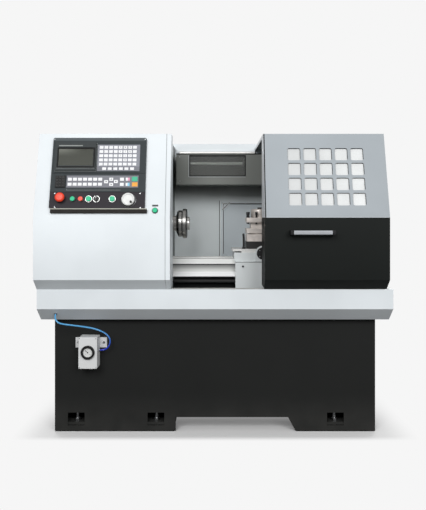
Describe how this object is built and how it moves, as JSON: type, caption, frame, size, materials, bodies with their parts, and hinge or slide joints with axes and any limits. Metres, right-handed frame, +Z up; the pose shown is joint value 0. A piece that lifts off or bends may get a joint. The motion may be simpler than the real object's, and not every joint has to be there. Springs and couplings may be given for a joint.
{
  "type": "cnc turning lathe",
  "caption": "Small flat-bed numerically controlled lathe with a sliding hood, a belt-driven collet spindle, a screw-driven cross slide and a four-way tool post.",
  "frame": {"origin": "on the floor under the middle of the machine's outer box", "axes": "+X to the operator's right along the spindle, +Y to the back, +Z up"},
  "size_m": [1.8, 1.0999, 1.58],
  "materials": {
    "white_paint": "smooth powder coat",
    "charcoal_paint": "fine textured paint",
    "hood_paint": "grey above and black below",
    "casting_paint": "painted casting",
    "machined_iron": "ground",
    "ground_steel": "ground",
    "grey_iron": "turned",
    "black_steel": "black oxide",
    "motor_paint": "enamel",
    "belt_rubber": "matte",
    "clear_sheet": "clear plastic sheet",
    "tube_glass": "frosted",
    "handle_metal": "satin",
    "panel_paint": "satin",
    "bezel_plastic": "moulded",
    "screen": "unlit display",
    "membrane": "embossed film",
    "collar_metal": "bright",
    "red_plastic": "moulded",
    "green_plastic": "moulded",
    "black_plastic": "moulded",
    "white_plastic": "moulded",
    "gauge_case": "moulded",
    "fitting_brass": "nickel plated",
    "hose_blue": "extruded tube"
  },
  "bodies": {
    "machine": {"headstock_cover": "white_paint", "closing_post": "white_paint", "chip_pan": "white_paint", "back_panel": "white_paint", "access_panel": "white_paint", "lamp_housing": "white_paint", "right_end_housing": "white_paint", "rear_cabinet": "white_paint", "regulator_box": "white_paint", "screw_guard": "white_paint", "base_cabinet": "charcoal_paint", "bed": "casting_paint", "headstock_casting": "casting_paint", "spindle_bearings": "ground_steel", "door_rails": "ground_steel", "levelling_feet": "ground_steel", "bed_motor": "black_steel", "main_motor": "motor_paint", "drive_belt": "belt_rubber", "lamp_window": "clear_sheet", "lamp_tube": "tube_glass", "operator_panel": "panel_paint", "screen_unit": "bezel_plastic", "screen_glass": "screen", "keypads": "membrane", "button_collars": "collar_metal", "pressure_gauge": "gauge_case", "hose_fittings": "fitting_brass", "air_hose": "hose_blue"},
    "door": {"door_shell": "hood_paint", "door_window": "clear_sheet", "door_handle": "handle_metal"},
    "cabinet_hatch": {"cabinet_door": "white_paint"},
    "hatch_lock": {"cabinet_latch": "ground_steel"},
    "carriage": {"saddle": "machined_iron", "apron": "machined_iron", "cross_end_housing": "white_paint", "cross_end_cap": "black_steel", "cross_motor": "black_steel"},
    "cross": {"cross_slide": "machined_iron", "turret_base": "black_steel", "coolant_pipe": "black_steel"},
    "turret": {"turret_body": "ground_steel", "turret_screws": "black_steel"},
    "long_screw": {"bed_screw": "ground_steel"},
    "short_screw": {"cross_screw": "ground_steel"},
    "spindle_line": {"spindle": "ground_steel", "spindle_pulley": "grey_iron", "chuck_body": "ground_steel", "chuck_collet": "ground_steel"},
    "motor_rotor": {"motor_pulley": "grey_iron"},
    "emergency": {"emergency_stop": "red_plastic"},
    "start": {"start_button": "green_plastic"},
    "stop": {"stop_button": "red_plastic"},
    "cycle": {"cycle_button": "green_plastic"},
    "feed": {"feed_button": "green_plastic"},
    "cover_push": {"cover_button": "green_plastic"},
    "mode": {"mode_selector": "black_plastic"},
    "dial": {"hand_dial": "white_plastic"},
    "needle": {"gauge_needle": "black_plastic"}
  },
  "joints": [
    {"name": "door_slide", "type": "slide", "parent": "machine", "child": "door", "axis": [1, 0, 0], "range_m": [-0.468, 0]},
    {"name": "cabinet_hatch_hinge", "type": "hinge", "parent": "machine", "child": "cabinet_hatch", "pos_m": [-0.583, 0.538, 1.18], "axis": [0, 0, 1], "range_deg": [0, 105]},
    {"name": "hatch_lock_turn", "type": "hinge", "parent": "cabinet_hatch", "child": "hatch_lock", "pos_m": [0.212, 0.54, 1.18], "axis": [0, 1, 0], "range_deg": [0, 90]},
    {"name": "carriage_slide", "type": "slide", "parent": "machine", "child": "carriage", "axis": [1, 0, 0], "range_m": [-0.28, 0.3]},
    {"name": "cross_slide_travel", "type": "slide", "parent": "carriage", "child": "cross", "axis": [0, 1, 0], "range_m": [0, 0.105]},
    {"name": "turret_index", "type": "hinge", "parent": "cross", "child": "turret", "pos_m": [0.243, -0.19, 1.09], "axis": [0, 0, 1], "continuous": true},
    {"name": "long_screw_spin", "type": "hinge", "parent": "machine", "child": "long_screw", "pos_m": [0.2, -0.277, 0.784], "axis": [1, 0, 0], "range_deg": [-10080, 10800]},
    {"name": "short_screw_spin", "type": "hinge", "parent": "carriage", "child": "short_screw", "pos_m": [0.253, -0.1, 0.926], "axis": [0, 1, 0], "range_deg": [0, 3780]},
    {"name": "spindle_spin", "type": "hinge", "parent": "machine", "child": "spindle_line", "pos_m": [-0.4, -0.135, 1.089], "axis": [1, 0, 0], "continuous": true},
    {"name": "motor_spin", "type": "hinge", "parent": "machine", "child": "motor_rotor", "pos_m": [-0.7, 0.13, 0.9], "axis": [1, 0, 0], "continuous": true},
    {"name": "emergency_push", "type": "slide", "parent": "machine", "child": "emergency", "axis": [0, 0.967, -0.2547], "range_m": [0, 0.005]},
    {"name": "start_push", "type": "slide", "parent": "machine", "child": "start", "axis": [0, 0.967, -0.2547], "range_m": [0, 0.003], "stiffness_N_per_m": 300},
    {"name": "stop_push", "type": "slide", "parent": "machine", "child": "stop", "axis": [0, 0.967, -0.2547], "range_m": [0, 0.003], "stiffness_N_per_m": 300},
    {"name": "cycle_push", "type": "slide", "parent": "machine", "child": "cycle", "axis": [0, 0.967, -0.2547], "range_m": [0, 0.003], "stiffness_N_per_m": 300},
    {"name": "feed_push", "type": "slide", "parent": "machine", "child": "feed", "axis": [0, 0.967, -0.2547], "range_m": [0, 0.003], "stiffness_N_per_m": 300},
    {"name": "cover_push_travel", "type": "slide", "parent": "machine", "child": "cover_push", "axis": [0, 0.967, -0.2547], "range_m": [0, 0.003], "stiffness_N_per_m": 300},
    {"name": "mode_turn", "type": "hinge", "parent": "machine", "child": "mode", "pos_m": [-0.588, -0.49072, 1.21321], "axis": [0, -0.967, 0.2547], "range_deg": [-45, 45]},
    {"name": "dial_spin", "type": "hinge", "parent": "machine", "child": "dial", "pos_m": [-0.429, -0.49196, 1.20847], "axis": [0, -0.967, 0.2547], "continuous": true},
    {"name": "needle_turn", "type": "hinge", "parent": "machine", "child": "needle", "pos_m": [-0.65, -0.405, 0.433], "axis": [0, 1, 0], "range_deg": [-85, 180]}
  ],
  "couplings": [
    {"joint": "long_screw_spin", "follows": "carriage_slide", "rad_per_m": 628.32},
    {"joint": "short_screw_spin", "follows": "cross_slide_travel", "rad_per_m": 628.32},
    {"joint": "motor_spin", "follows": "spindle_spin", "ratio": 1.6667}
  ]
}
